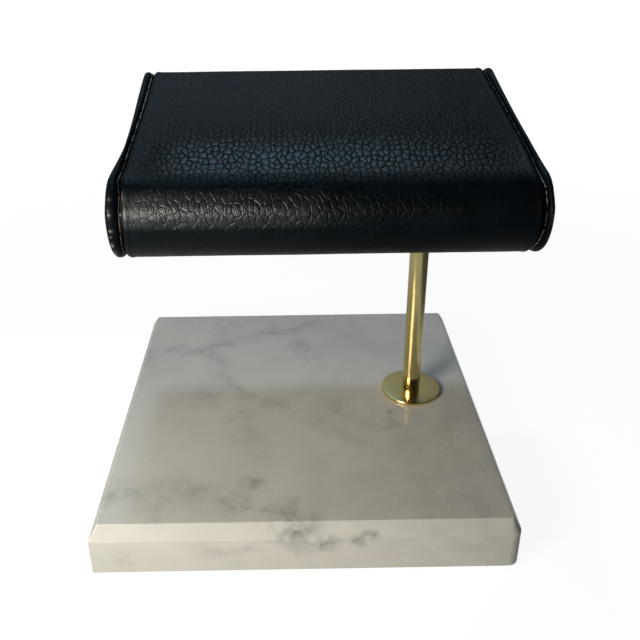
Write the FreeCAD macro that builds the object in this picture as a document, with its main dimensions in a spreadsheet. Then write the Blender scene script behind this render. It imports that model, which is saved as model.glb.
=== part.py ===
import FreeCAD, Part
import math
import os
import re
import Sketcher
from FreeCAD import Vector

# Watch stand: a bevelled marble base, a thin brass post near its right edge,
# and a wedge-shaped leather cushion that reaches out to the left of the post.
# Millimetres. +X is to the right, +Y to the back, +Z up.
# The origin is the middle of the base, on the face that the stand rests on.

os.makedirs("parts", exist_ok=True)
doc = FreeCAD.newDocument("watch_stand")

# Driving dimensions

SIZES = {
    # marble slab, with a steep bevel round its top and one corner worn round
    "base_width": 120.0,
    "base_depth": 120.0,
    "slab_thickness": 15.3,
    "bevel_run": 2.45,
    "bevel_rise": 4.3,
    "worn_top_radius": 0.7,
    "arris_radius": 0.35,
    # felt sheet under the slab
    "pad_thickness": 0.8,
    "pad_inset": 2.0,
    "pad_corner_radius": 3.0,
    # brass post and the equal discs at its foot and its head
    "post_diameter": 6.0,
    "post_from_right": 22.0,
    "post_behind_centre": 4.0,
    "post_chamfer": 0.3,
    "clear_height": 67.3,
    "disc_diameter": 20.0,
    "disc_thickness": 1.2,
    "disc_edge_bevel": 0.3,
    # threads, drawn as plain cylinders with a little room round them
    "thread_diameter": 4.0,
    "thread_gap": 0.05,
    "bolt_hole_diameter": 4.5,
    "drill_point_angle": 31.0,
    # socket screw and washer under the slab
    "counterbore_diameter": 13.0,
    "counterbore_depth": 7.0,
    "washer_diameter": 11.0,
    "washer_thickness": 1.0,
    "screw_head_diameter": 7.0,
    "screw_head_height": 4.0,
    "screw_head_chamfer": 0.4,
    "socket_across_corners": 3.46,
    "socket_depth": 2.0,
    "screw_in_post": 11.0,
    "tap_spare": 1.5,
    # stud in the post's head, and the brass insert in the core block
    "stud_in_post": 9.0,
    "stud_in_insert": 9.0,
    "stud_chamfer": 0.5,
    "insert_diameter": 7.0,
    "insert_length": 11.0,
    "insert_flange_diameter": 10.0,
    "insert_flange_thickness": 1.0,
    "insert_fit": 0.05,
    # cushion: outside length and depth, and its place beside the post
    "cushion_length": 113.0,
    "cushion_depth": 81.0,
    "post_to_right_end": 25.4,
    "cushion_ahead": 3.5,
    # cushion section, measured from its flat underside
    "nose_height": 14.7,
    "front_upper_radius": 10.5,
    "front_lower_radius": 14.0,
    "back_height": 37.5,
    "back_upper_radius": 8.0,
    "back_lower_radius": 13.0,
    "hollow_radius": 590.0,
    # leather wrap, turned in at each end behind the sewn groove
    "leather_thickness": 1.2,
    "groove_width": 1.0,
    "groove_depth": 1.3,
    "turned_edge": 5.0,
    "end_roll_radius": 1.6,
    "lap_width": 0.6,
    "lap_depth": 0.5,
    "lap_behind_post": 16.0,
    # end panels, each with a raised rim
    "panel_thickness": 2.2,
    "rim_inset": 0.3,
    "rim_width": 2.6,
    "rim_bevel": 0.7,
    "panel_recess": 0.7,
    # inside the wrap
    "soft_gap": 0.1,
    "board_thickness": 1.5,
    "foam_thickness": 4.0,
    "underlay_thickness": 2.0,
}

sheet = doc.addObject("Spreadsheet::Sheet", "Sizes")
for row, (alias, value) in enumerate(SIZES.items(), start=1):
    sheet.set(f"A{row}", alias.replace("_", " "))
    sheet.set(f"B{row}", str(value))
    sheet.setAlias(f"B{row}", alias)
doc.recompute()


def cells(text):
    """Write an expression with plain size names as one that reads the sheet."""
    return re.sub(r"[a-z_]+", lambda word: f"Sizes.{word[0]}" if word[0] in SIZES else word[0], text)


def value_of(text):
    """The number that an expression of sizes stands for just now."""
    result = sheet.evalExpression(cells(text))
    return float(getattr(result, "Value", result))


# Levels and places, each worked out from the driving dimensions

SLAB_TOP = "(pad_thickness + slab_thickness)"
BEVEL_FOOT = "(slab_thickness - bevel_rise)"
WORN_RADIUS = "(bevel_run + worn_top_radius)"
POST_X = "(base_width / 2 - post_from_right)"
POST_Y = "post_behind_centre"
POST_FOOT = f"({SLAB_TOP} + disc_thickness)"
POST_LENGTH = "(clear_height - 2 * disc_thickness)"
UNDERSIDE = f"({SLAB_TOP} + clear_height)"
THREAD_BORE = "(thread_diameter / 2 + thread_gap)"

COUNTERBORE_TOP = "(pad_thickness + counterbore_depth)"
WASHER_SEAT = f"({COUNTERBORE_TOP} - washer_thickness)"
SCREW_FOOT = f"({WASHER_SEAT} - screw_head_height)"
SCREW_GRIP = "(washer_thickness + slab_thickness - counterbore_depth + disc_thickness)"

CUSHION_X = f"({POST_X} + post_to_right_end - cushion_length / 2)"
CUSHION_Y = f"({POST_Y} - cushion_ahead - cushion_depth / 2)"
POST_IN_CUSHION_X = "(cushion_length / 2 - post_to_right_end)"
POST_IN_CUSHION_Y = "(cushion_depth / 2 + cushion_ahead)"

WRAP_LENGTH = "(cushion_length - 2 * panel_thickness)"
PADDED_LENGTH = f"({WRAP_LENGTH} - 2 * groove_width)"
CAVITY_LENGTH = f"({PADDED_LENGTH} - 2 * leather_thickness)"
FILLING_LENGTH = f"({CAVITY_LENGTH} - 2 * board_thickness)"
CAVITY_INSET = "leather_thickness"
FILLING_INSET = "(leather_thickness + soft_gap)"
HOLLOW_INSET = f"({FILLING_INSET} + foam_thickness)"
HOLLOW_BOTTOM = f"({FILLING_INSET} + underlay_thickness)"
CORE_INSET = f"({HOLLOW_INSET} + soft_gap)"
CORE_BOTTOM = f"({HOLLOW_BOTTOM} + soft_gap)"
MOUTH_INSET = "(groove_depth + turned_edge)"


# Small helpers for bodies, sketches and features

def bind(thing, prop, text):
    thing.setExpression(prop, cells(text))


def new_body(label, x="0", y="0", z="0"):
    body = doc.addObject("PartDesign::Body", label)
    body.Label = label
    for axis, text in (("x", x), ("y", y), ("z", z)):
        bind(body, f"Placement.Base.{axis}", text)
    return body


def new_sketch(body, name, role, lift="0"):
    """A sketch on one of the body's own origin planes, lifted along its normal."""
    sketch = body.newObject("Sketcher::SketchObject", f"{body.Label}_{name}")
    plane = [item for item in body.Origin.OriginFeatures if item.Role == role][0]
    sketch.AttachmentSupport = [(plane, "")]
    sketch.MapMode = "FlatFace"
    bind(sketch, "AttachmentOffset.Base.z", lift)
    return sketch


def dimension(sketch, kind, places, text):
    """A dimension that reads its value from the sheet."""
    index = sketch.addConstraint(Sketcher.Constraint(kind, *places, value_of(text)))
    sketch.setExpression(f"Constraints[{index}]", cells(text))


def place_point(sketch, geometry, end, across, up):
    """Hold a point at its distances from the sketch's origin."""
    for kind, axis, text in (("DistanceX", -2, across), ("DistanceY", -1, up)):
        if text == "0":
            sketch.addConstraint(Sketcher.Constraint("PointOnObject", geometry, end, axis))
        else:
            dimension(sketch, kind, (-1, 1, geometry, end), text)


def circle(sketch, radius, across="0", up="0"):
    middle = Vector(value_of(across), value_of(up), 0)
    index = sketch.addGeometry(Part.Circle(middle, Vector(0, 0, 1), value_of(radius)))
    place_point(sketch, index, 3, across, up)
    dimension(sketch, "Radius", (index,), radius)


def polygon(sketch, corners):
    """A closed outline whose corners are pairs of expressions."""
    points = [Vector(value_of(across), value_of(up), 0) for across, up in corners]
    lines = []
    for start, end in zip(points, points[1:] + points[:1]):
        lines.append(sketch.addGeometry(Part.LineSegment(start, end)))
    for line, following in zip(lines, lines[1:] + lines[:1]):
        sketch.addConstraint(Sketcher.Constraint("Coincident", line, 2, following, 1))
    for line, (across, up) in zip(lines, corners):
        place_point(sketch, line, 1, across, up)


def rectangle(sketch, width, depth, across="0", up="0"):
    sides = [f"({across} - {width} / 2)", f"({across} + {width} / 2)"]
    ends = [f"({up} - {depth} / 2)", f"({up} + {depth} / 2)"]
    polygon(sketch, [(sides[0], ends[0]), (sides[1], ends[0]), (sides[1], ends[1]), (sides[0], ends[1])])


def pad(body, sketch, length, both_ways=False):
    feature = body.newObject("PartDesign::Pad", f"{sketch.Name}_pad")
    feature.Profile = sketch
    feature.SideType = "Symmetric" if both_ways else "One side"
    bind(feature, "Length", length)
    doc.recompute()
    return feature


def pocket(body, sketch, length, both_ways=False, along_normal=False):
    """Cut along or against the sketch's normal, and make sure that something was cut."""
    before = body.Shape.Volume
    feature = body.newObject("PartDesign::Pocket", f"{sketch.Name}_pocket")
    feature.Profile = sketch
    feature.SideType = "Symmetric" if both_ways else "One side"
    feature.Reversed = along_normal
    bind(feature, "Length", length)
    doc.recompute()
    if body.Shape.Volume >= before:
        raise ValueError(f"{feature.Name} cuts nothing")
    return feature


def ease_edges(body, name, kind, measure, size, chosen):
    """Fillet or chamfer the edges of the body that the test picks."""
    tip = body.Tip
    picked = [f"Edge{i}" for i, edge in enumerate(tip.Shape.Edges, start=1) if chosen(edge)]
    feature = body.newObject(f"PartDesign::{kind}", f"{body.Label}_{name}")
    feature.Base = (tip, picked)
    bind(feature, measure, size)
    doc.recompute()
    return feature


def round_edges(body, name, radius, chosen):
    return ease_edges(body, name, "Fillet", "Radius", radius, chosen)


def bevel_edges(body, name, size, chosen):
    return ease_edges(body, name, "Chamfer", "Size", size, chosen)


def turn(body, corners):
    """Revolve a half section, given as radius and height pairs, round the body's Z axis."""
    sketch = new_sketch(body, "section", "XZ_Plane")
    polygon(sketch, corners)
    feature = body.newObject("PartDesign::Revolution", f"{body.Label}_turned")
    feature.Profile = sketch
    feature.ReferenceAxis = (sketch, ["V_Axis"])
    feature.Angle = 360
    doc.recompute()
    return feature


def drill(body, name, across, up, level, bore, depth, head, head_depth):
    """A counterbored hole, drilled upwards from a level under the solid. No depth means through."""
    before = body.Shape.Volume
    sketch = new_sketch(body, name, "XY_Plane", level)
    circle(sketch, f"{bore} / 2", across, up)
    doc.recompute()
    feature = body.newObject("PartDesign::Hole", f"{body.Label}_{name}_hole")
    feature.Profile = sketch
    feature.Reversed = True
    feature.Threaded = False
    bind(feature, "Diameter", bore)
    feature.DrillPoint = "Flat"
    feature.HoleCutType = "Counterbore"
    feature.HoleCutCustomValues = True
    bind(feature, "HoleCutDiameter", head)
    bind(feature, "HoleCutDepth", head_depth)
    if depth is None:
        feature.DepthType = "ThroughAll"
    else:
        feature.DepthType = "Dimension"
        bind(feature, "Depth", depth)
    doc.recompute()
    if body.Shape.Volume >= before:
        raise ValueError(f"{feature.Name} cuts nothing")
    return feature


# Marble base and what is under it

def slab_outline(sketch):
    """The slab in plan: square, with its front right corner worn round."""
    half_width = value_of("base_width / 2")
    half_depth = value_of("base_depth / 2")
    radius = value_of(WORN_RADIUS)
    turn_in = Vector(half_width - radius, radius - half_depth, 0)
    front_left = Vector(-half_width, -half_depth, 0)
    back_right = Vector(half_width, half_depth, 0)
    back_left = Vector(-half_width, half_depth, 0)

    front = sketch.addGeometry(Part.LineSegment(front_left, Vector(turn_in.x, -half_depth, 0)))
    ring = Part.Circle(turn_in, Vector(0, 0, 1), radius)
    corner = sketch.addGeometry(Part.ArcOfCircle(ring, -math.pi / 2, 0))
    right = sketch.addGeometry(Part.LineSegment(Vector(half_width, turn_in.y, 0), back_right))
    back = sketch.addGeometry(Part.LineSegment(back_right, back_left))
    left = sketch.addGeometry(Part.LineSegment(back_left, front_left))

    for kind, line in (("Horizontal", front), ("Vertical", right), ("Horizontal", back), ("Vertical", left)):
        sketch.addConstraint(Sketcher.Constraint(kind, line))
    sketch.addConstraint(Sketcher.Constraint("Tangent", front, 2, corner, 1))
    sketch.addConstraint(Sketcher.Constraint("Tangent", corner, 2, right, 1))
    for line, following in ((right, back), (back, left), (left, front)):
        sketch.addConstraint(Sketcher.Constraint("Coincident", line, 2, following, 1))
    dimension(sketch, "Radius", (corner,), WORN_RADIUS)
    place_point(sketch, front, 1, "(0 - base_width / 2)", "(0 - base_depth / 2)")
    place_point(sketch, back, 1, "(base_width / 2)", "(base_depth / 2)")


def make_marble_base():
    """Square slab with a steep mitred bevel, softened arrises and a hole for the post's screw."""
    body = new_body("marble_base", z="pad_thickness")
    foot = new_sketch(body, "foot", "XY_Plane")
    slab_outline(foot)
    pad(body, foot, BEVEL_FOOT)

    shoulder = new_sketch(body, "shoulder", "XY_Plane", BEVEL_FOOT)
    slab_outline(shoulder)
    bevel = pad(body, shoulder, "bevel_rise")
    bind(bevel, "TaperAngle", "0 deg - atan(bevel_run / bevel_rise)")
    doc.recompute()

    round_edges(body, "arrises", "arris_radius", lambda edge: edge.BoundBox.ZMax > 1e-3)
    drill(body, "screw", POST_X, POST_Y, "0", "bolt_hole_diameter", None,
          "counterbore_diameter", "counterbore_depth")
    return body


def make_base_pad():
    """Felt sheet that covers the screw hole and keeps the marble off the table."""
    body = new_body("base_pad")
    outline = new_sketch(body, "outline", "XY_Plane")
    rectangle(outline, "(base_width - 2 * pad_inset)", "(base_depth - 2 * pad_inset)")
    pad(body, outline, "pad_thickness")
    round_edges(body, "corners", "pad_corner_radius", lambda edge: edge.BoundBox.ZLength > 0.01)
    return body


def make_base_screw():
    """Socket screw that pulls the post down on to its disc and the slab."""
    body = new_body("base_screw", POST_X, POST_Y, SCREW_FOOT)
    shank_top = f"(screw_head_height + {SCREW_GRIP} + screw_in_post)"
    turn(body, [
        ("0", "0"),
        ("(screw_head_diameter / 2 - screw_head_chamfer)", "0"),
        ("(screw_head_diameter / 2)", "screw_head_chamfer"),
        ("(screw_head_diameter / 2)", "screw_head_height"),
        ("(thread_diameter / 2)", "screw_head_height"),
        ("(thread_diameter / 2)", f"({shank_top} - stud_chamfer)"),
        ("(thread_diameter / 2 - stud_chamfer)", shank_top),
        ("0", shank_top),
    ])
    socket = new_sketch(body, "socket", "XY_Plane")
    hexagon(socket, "socket_across_corners / 2")
    pocket(body, socket, "socket_depth", along_normal=True)
    return body


def hexagon(sketch, radius):
    """Six equal sides on a circle, with two corners on the sketch's X axis."""
    reach = value_of(radius)
    turns = [math.radians(60 * k) for k in range(6)]
    points = [Vector(reach * math.cos(turn_by), reach * math.sin(turn_by), 0) for turn_by in turns]
    lines = []
    for start, end in zip(points, points[1:] + points[:1]):
        lines.append(sketch.addGeometry(Part.LineSegment(start, end)))
    ring = sketch.addGeometry(Part.Circle(Vector(0, 0, 0), Vector(0, 0, 1), reach), True)
    sketch.addConstraint(Sketcher.Constraint("Coincident", ring, 3, -1, 1))
    dimension(sketch, "Radius", (ring,), radius)
    for line, following in zip(lines, lines[1:] + lines[:1]):
        sketch.addConstraint(Sketcher.Constraint("Coincident", line, 2, following, 1))
        sketch.addConstraint(Sketcher.Constraint("PointOnObject", line, 1, ring))
    for line in lines[1:]:
        sketch.addConstraint(Sketcher.Constraint("Equal", lines[0], line))
    sketch.addConstraint(Sketcher.Constraint("PointOnObject", lines[0], 1, -1))


def make_base_washer():
    body = new_body("base_washer", POST_X, POST_Y, WASHER_SEAT)
    outline = new_sketch(body, "outline", "XY_Plane")
    circle(outline, "washer_diameter / 2")
    circle(outline, "bolt_hole_diameter / 2")
    pad(body, outline, "washer_thickness")
    return body


# Brass post and its two discs

def make_disc(label, level, shows_from_above):
    """Thin round disc with a small bevel on the side that shows."""
    body = new_body(label, POST_X, POST_Y, level)
    bore = "(bolt_hole_diameter / 2)"
    rim = "(disc_diameter / 2)"
    face = f"({rim} - disc_edge_bevel)"
    low_edge = [(rim, "0")]
    high_edge = [(rim, "disc_thickness")]
    if shows_from_above:
        high_edge = [(rim, "(disc_thickness - disc_edge_bevel)"), (face, "disc_thickness")]
    else:
        low_edge = [(face, "0"), (rim, "disc_edge_bevel")]
    turn(body, [(bore, "0"), *low_edge, *high_edge, (bore, "disc_thickness")])
    return body


def make_post():
    """Brass rod, tapped at both ends."""
    body = new_body("post", POST_X, POST_Y, POST_FOOT)
    point = f"({THREAD_BORE} * tan(drill_point_angle * 1 deg))"
    foot_bore = "(screw_in_post + tap_spare)"
    head_bore = f"({POST_LENGTH} - stud_in_post - tap_spare)"
    turn(body, [
        (THREAD_BORE, "0"),
        ("(post_diameter / 2 - post_chamfer)", "0"),
        ("(post_diameter / 2)", "post_chamfer"),
        ("(post_diameter / 2)", f"({POST_LENGTH} - post_chamfer)"),
        ("(post_diameter / 2 - post_chamfer)", POST_LENGTH),
        (THREAD_BORE, POST_LENGTH),
        (THREAD_BORE, head_bore),
        ("0", f"({head_bore} - {point})"),
        ("0", f"({foot_bore} + {point})"),
        (THREAD_BORE, foot_bore),
    ])
    return body


def make_post_stud():
    """Threaded stud that joins the post's head to the insert in the cushion."""
    body = new_body("post_stud", POST_X, POST_Y, f"({UNDERSIDE} - disc_thickness - stud_in_post)")
    length = f"(stud_in_post + disc_thickness + {CORE_BOTTOM} + stud_in_insert)"
    turn(body, [
        ("0", "0"),
        ("(thread_diameter / 2 - stud_chamfer)", "0"),
        ("(thread_diameter / 2)", "stud_chamfer"),
        ("(thread_diameter / 2)", f"({length} - stud_chamfer)"),
        ("(thread_diameter / 2 - stud_chamfer)", length),
        ("0", length),
    ])
    return body


def make_threaded_insert():
    """Flanged brass sleeve, pressed into the core block from below."""
    body = new_body("threaded_insert", POST_X, POST_Y, f"({UNDERSIDE} + {CORE_BOTTOM})")
    turn(body, [
        (THREAD_BORE, "0"),
        ("(insert_flange_diameter / 2)", "0"),
        ("(insert_flange_diameter / 2)", "insert_flange_thickness"),
        ("(insert_diameter / 2)", "insert_flange_thickness"),
        ("(insert_diameter / 2)", "insert_length"),
        (THREAD_BORE, "insert_length"),
    ])
    return body


# Cushion. Its bodies share one frame: X from the middle of its length,
# Y from its front, Z from its flat underside.

def cushion_body(label):
    return new_body(label, CUSHION_X, CUSHION_Y, UNDERSIDE)


def outset_centre(first, first_reach, second, second_reach):
    """The point above two others that lies at a given distance from each."""
    apart = second - first
    span = apart.Length
    along = (first_reach ** 2 - second_reach ** 2 + span ** 2) / (2 * span)
    rise = math.sqrt(first_reach ** 2 - along ** 2)
    direction = apart / span
    return first + direction * along + Vector(-direction.y, direction.x, 0) * rise


def section(body, name, side="0", bottom="0", lift="0"):
    """The cushion's wedge section, drawn inwards of its outside by the given insets.

    Round nose in front, slightly hollow sloping top, round back and flat underside.
    """
    sketch = new_sketch(body, name, "YZ_Plane", lift)
    radius = {
        "front_upper": f"(front_upper_radius - {side})",
        "front_lower": f"(front_lower_radius - {side})",
        "back_upper": f"(back_upper_radius - {side})",
        "back_lower": f"(back_lower_radius - {side})",
        "top": f"(hollow_radius + {side})",
    }
    size = {key: value_of(text) for key, text in radius.items()}
    front = value_of(side)
    back = value_of(f"cushion_depth - {side}")
    base = value_of(bottom)
    nose = value_of("nose_height")
    shoulder_height = "(back_height - back_upper_radius)"
    shoulder = value_of(shoulder_height)

    centre = {
        "front_upper": Vector(front + size["front_upper"], nose, 0),
        "front_lower": Vector(front + size["front_lower"], base + size["front_lower"], 0),
        "back_upper": Vector(back - size["back_upper"], shoulder, 0),
        "back_lower": Vector(back - size["back_lower"], base + size["back_lower"], 0),
    }
    centre["top"] = outset_centre(
        centre["front_upper"], size["top"] + size["front_upper"],
        centre["back_upper"], size["top"] + size["back_upper"])

    def bearing(start, end):
        return math.atan2(end.y - start.y, end.x - start.x)

    def arc(key, first, last):
        ring = Part.Circle(centre[key], Vector(0, 0, 1), size[key])
        return sketch.addGeometry(Part.ArcOfCircle(ring, first, last))

    def line(start, end):
        return sketch.addGeometry(Part.LineSegment(start, end))

    up_to_front = bearing(centre["front_upper"], centre["top"])
    up_to_back = bearing(centre["back_upper"], centre["top"])
    underside = line(Vector(centre["front_lower"].x, base, 0), Vector(centre["back_lower"].x, base, 0))
    back_lower = arc("back_lower", -math.pi / 2, 0)
    back_face = line(Vector(back, centre["back_lower"].y, 0), Vector(back, shoulder, 0))
    back_upper = arc("back_upper", 0, up_to_back)
    top = arc("top", up_to_front - math.pi, up_to_back - math.pi)
    front_upper = arc("front_upper", up_to_front, math.pi)
    front_face = line(Vector(front, nose, 0), Vector(front, centre["front_lower"].y, 0))
    front_lower = arc("front_lower", math.pi, 1.5 * math.pi)

    joints = [
        (underside, 2, back_lower, 1), (back_lower, 2, back_face, 1), (back_face, 2, back_upper, 1),
        (back_upper, 2, top, 2), (top, 1, front_upper, 1), (front_upper, 2, front_face, 1),
        (front_face, 2, front_lower, 1), (front_lower, 2, underside, 1),
    ]
    for joint in joints:
        sketch.addConstraint(Sketcher.Constraint("Tangent", *joint))
    sketch.addConstraint(Sketcher.Constraint("Horizontal", underside))
    sketch.addConstraint(Sketcher.Constraint("Vertical", back_face))
    sketch.addConstraint(Sketcher.Constraint("Vertical", front_face))
    arcs = {"front_upper": front_upper, "front_lower": front_lower, "back_upper": back_upper,
            "back_lower": back_lower, "top": top}
    for key, index in arcs.items():
        dimension(sketch, "Radius", (index,), radius[key])
    place_point(sketch, front_face, 1, side, "nose_height")
    dimension(sketch, "DistanceX", (-1, 1, back_face, 2), f"(cushion_depth - {side})")
    dimension(sketch, "DistanceY", (-1, 1, back_face, 2), shoulder_height)
    if bottom == "0":
        sketch.addConstraint(Sketcher.Constraint("PointOnObject", underside, 1, -1))
    else:
        dimension(sketch, "DistanceY", (-1, 1, underside, 1), bottom)
    return sketch


def stud_hole(body, depth):
    """Hole for the stud, up through the underside."""
    sketch = new_sketch(body, "stud_hole", "XY_Plane")
    circle(sketch, "bolt_hole_diameter / 2", POST_IN_CUSHION_X, POST_IN_CUSHION_Y)
    pocket(body, sketch, depth, along_normal=True)


def roll_ends(body, radius, length):
    """Turn over the rim of both ends in three flats that follow an arc of the given radius."""
    first_cut = f"({radius} * (2 - sqrt(2)))"
    second_cut = f"({radius} * (tan(22.5 deg) - tan(11.25 deg)))"

    def rims_at(reach):
        return lambda edge: edge.BoundBox.XLength < 1e-4 and min(
            abs(abs(edge.BoundBox.XMin) - level) for level in reach) < 1e-4

    end = value_of(f"{length} / 2")
    bevel_edges(body, "rim", first_cut, rims_at([end]))
    bevel_edges(body, "rolled_rim", second_cut, rims_at([end, end - value_of(first_cut)]))


def make_leather_wrap():
    """Leather pulled round the padding, rolled over at each end and turned in at the seam."""
    body = cushion_body("leather_wrap")
    pad(body, section(body, "outside"), PADDED_LENGTH, both_ways=True)
    roll_ends(body, "end_roll_radius", PADDED_LENGTH)
    pad(body, section(body, "neck", "groove_depth", "groove_depth"), WRAP_LENGTH, both_ways=True)
    pocket(body, section(body, "cavity", CAVITY_INSET, CAVITY_INSET), CAVITY_LENGTH, both_ways=True)
    pocket(body, section(body, "mouth", MOUTH_INSET, MOUTH_INSET), WRAP_LENGTH, both_ways=True)
    stud_hole(body, "(2 * leather_thickness)")
    lap = new_sketch(body, "lap", "XY_Plane")
    rectangle(lap, PADDED_LENGTH, "lap_width", "0", f"({POST_IN_CUSHION_Y} + lap_behind_post)")
    pocket(body, lap, "lap_depth", along_normal=True)
    return body


def make_end_panel(label, side):
    """Leather end piece with a raised rim, and a backing that fills the wrap's mouth."""
    body = cushion_body(label)
    outer_face = f"({side} * cushion_length / 2)"
    inner_face = f"({side} * {WRAP_LENGTH} / 2)"
    low_face = outer_face if side < 0 else inner_face
    pad(body, section(body, "outline", "rim_inset", "rim_inset", low_face), "panel_thickness")
    ends = [value_of(outer_face), value_of(inner_face)]

    def rim_edge(edge):
        box = edge.BoundBox
        return box.XLength < 1e-4 and min(abs(box.XMin - end) for end in ends) < 1e-4

    bevel_edges(body, "rim", "rim_bevel", rim_edge)
    recess_inset = "(rim_inset + rim_width)"
    recess = section(body, "recess", recess_inset, recess_inset, outer_face)
    pocket(body, recess, "panel_recess", along_normal=side < 0)

    backing_inset = f"({MOUTH_INSET} + soft_gap)"
    backing_depth = "(groove_width + leather_thickness)"
    low_end = inner_face if side < 0 else f"({inner_face} - {backing_depth})"
    backing = section(body, "backing", backing_inset, backing_inset, low_end)
    pad(body, backing, backing_depth)
    return body


def make_end_board(label, side):
    """Stiff card behind the turned-in leather."""
    body = cushion_body(label)
    outer_face = f"({side} * {CAVITY_LENGTH} / 2)"
    low_face = outer_face if side < 0 else f"({outer_face} - board_thickness)"
    outline = section(body, "outline", FILLING_INSET, FILLING_INSET, low_face)
    pad(body, outline, "board_thickness")
    return body


def make_padding():
    """Foam sheet wrapped round the core block, thinner underneath."""
    body = cushion_body("padding")
    pad(body, section(body, "outside", FILLING_INSET, FILLING_INSET), FILLING_LENGTH, both_ways=True)
    pocket(body, section(body, "inside", HOLLOW_INSET, HOLLOW_BOTTOM), FILLING_LENGTH, both_ways=True)
    stud_hole(body, f"({CORE_BOTTOM} + soft_gap)")
    return body


def make_core_block():
    """Wooden block that gives the cushion its form and holds the threaded insert."""
    body = cushion_body("core_block")
    pad(body, section(body, "outline", CORE_INSET, CORE_BOTTOM), FILLING_LENGTH, both_ways=True)
    drill(body, "insert", POST_IN_CUSHION_X, POST_IN_CUSHION_Y, CORE_BOTTOM,
          "(insert_diameter + 2 * insert_fit)", "(insert_length + tap_spare)",
          "(insert_flange_diameter + 2 * insert_fit)", "insert_flange_thickness")
    return body


bodies = [
    make_marble_base(),
    make_base_pad(),
    make_base_screw(),
    make_base_washer(),
    make_disc("base_flange", SLAB_TOP, True),
    make_post(),
    make_disc("top_flange", f"({UNDERSIDE} - disc_thickness)", False),
    make_post_stud(),
    make_threaded_insert(),
    make_core_block(),
    make_padding(),
    make_end_board("left_end_board", -1),
    make_end_board("right_end_board", 1),
    make_leather_wrap(),
    make_end_panel("left_end_panel", -1),
    make_end_panel("right_end_panel", 1),
]
doc.recompute()

# Nothing is written unless every object is sound

for item in doc.Objects:
    if "Invalid" in item.State or "Error" in item.State:
        raise ValueError(f"{item.Name} did not build: {item.State}")
for body in bodies:
    shape = body.Shape
    if shape.isNull() or not shape.isValid() or len(shape.Solids) != 1:
        raise ValueError(f"{body.Label} is not one sound solid")

for body in bodies:
    body.Shape.exportStep(f"parts/{body.Label}.step")
    box = body.Shape.optimalBoundingBox()
    print(f"{body.Label}: {body.Shape.Volume:.0f} mm3, "
          f"x {box.XMin:.1f} to {box.XMax:.1f}, y {box.YMin:.1f} to {box.YMax:.1f}, "
          f"z {box.ZMin:.1f} to {box.ZMax:.1f}")
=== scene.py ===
import math
from functools import partial

import bpy
import numpy as np
from mathutils import Matrix, Vector, kdtree, noise


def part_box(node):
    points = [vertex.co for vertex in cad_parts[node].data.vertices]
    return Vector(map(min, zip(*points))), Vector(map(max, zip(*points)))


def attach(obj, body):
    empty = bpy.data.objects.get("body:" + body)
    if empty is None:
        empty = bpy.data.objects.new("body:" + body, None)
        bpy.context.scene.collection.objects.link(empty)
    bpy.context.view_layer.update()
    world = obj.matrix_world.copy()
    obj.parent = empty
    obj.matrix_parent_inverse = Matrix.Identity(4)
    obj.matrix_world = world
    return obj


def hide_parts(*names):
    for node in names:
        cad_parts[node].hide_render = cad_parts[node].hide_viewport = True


# Watch stand: polished marble base, brass post and a wedge-shaped leather cushion.
# The frame and the lamps are in metres. Other sizes are millimetres, turned to metres where they are used.

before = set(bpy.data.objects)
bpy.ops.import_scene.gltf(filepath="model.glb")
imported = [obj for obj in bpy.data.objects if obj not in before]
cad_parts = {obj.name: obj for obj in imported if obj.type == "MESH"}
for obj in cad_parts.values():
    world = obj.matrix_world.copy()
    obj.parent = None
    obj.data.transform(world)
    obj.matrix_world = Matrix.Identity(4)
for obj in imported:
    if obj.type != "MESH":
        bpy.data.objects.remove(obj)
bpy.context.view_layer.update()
MM = 0.001


# Places read from the frame

def box_mm(node):
    low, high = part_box(node)
    return low / MM, high / MM


COVER_LOW, COVER_HIGH = box_mm("leather_wrap")
POST_LOW, POST_HIGH = box_mm("post")
LEFT_FACE = box_mm("left_end_panel")[0].x
RIGHT_FACE = box_mm("right_end_panel")[1].x

CUSHION_MIDDLE = (LEFT_FACE + RIGHT_FACE) / 2
CUSHION_HALF = (RIGHT_FACE - LEFT_FACE) / 2
COVER_HALF = (COVER_HIGH.x - COVER_LOW.x) / 2
CUSHION_FRONT = COVER_LOW.y
CUSHION_UNDERSIDE = COVER_LOW.z
CUSHION_DEPTH = COVER_HIGH.y - COVER_LOW.y
BACK_HEIGHT = COVER_HIGH.z - COVER_LOW.z
POST_MIDDLE = (POST_LOW + POST_HIGH) / 2

# Cushion section, in millimetres from its front and its underside

NOSE_HEIGHT = 14.7
FRONT_UPPER_RADIUS = 10.5
FRONT_LOWER_RADIUS = 14.0
BACK_UPPER_RADIUS = 8.0
BACK_LOWER_RADIUS = 13.0
HOLLOW_RADIUS = 590.0
LAP_BEHIND_POST = 16.0
SAG = 0.8
SAG_FADE = 20.0

# Cover, its seams and the end panels

LEATHER = 1.2
GROOVE_WIDTH = 1.0
GROOVE_DEPTH = 1.45
ROLL_RADIUS = 1.6
TURNED_EDGE = 5.0
PANEL_THICKNESS = CUSHION_HALF - COVER_HALF
LIP_INSET = 0.25
LIP_RADIUS = 1.1
RIM_WIDTH = 2.9
PANEL_RECESS = 0.7
# How far each end is pulled: its seam along the top and at the nose, and its lip along the top
LEFT_PULLS = (-0.2, -0.9, 1.4)
RIGHT_PULLS = (0.6, 0.7, 0.35)


# Small helpers for meshes

def add_object(name, data):
    thing = bpy.data.objects.new(name, data)
    bpy.context.scene.collection.objects.link(thing)
    return thing


def mesh_piece(name, points, faces, material, edges=()):
    """A smooth mesh object from points in millimetres, with faces or with bare edges."""
    mesh = bpy.data.meshes.new(name)
    mesh.from_pydata([tuple(p) for p in np.asarray(points) * MM], edges, faces)
    mesh.validate()
    mesh.shade_smooth()
    mesh.materials.append(material)
    return add_object(name, mesh)


def step(value, start, end):
    """Smooth rise from 0 at start to 1 at end."""
    t = np.clip((value - start) / (end - start), 0, 1)
    return t * t * (3 - 2 * t)


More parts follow.
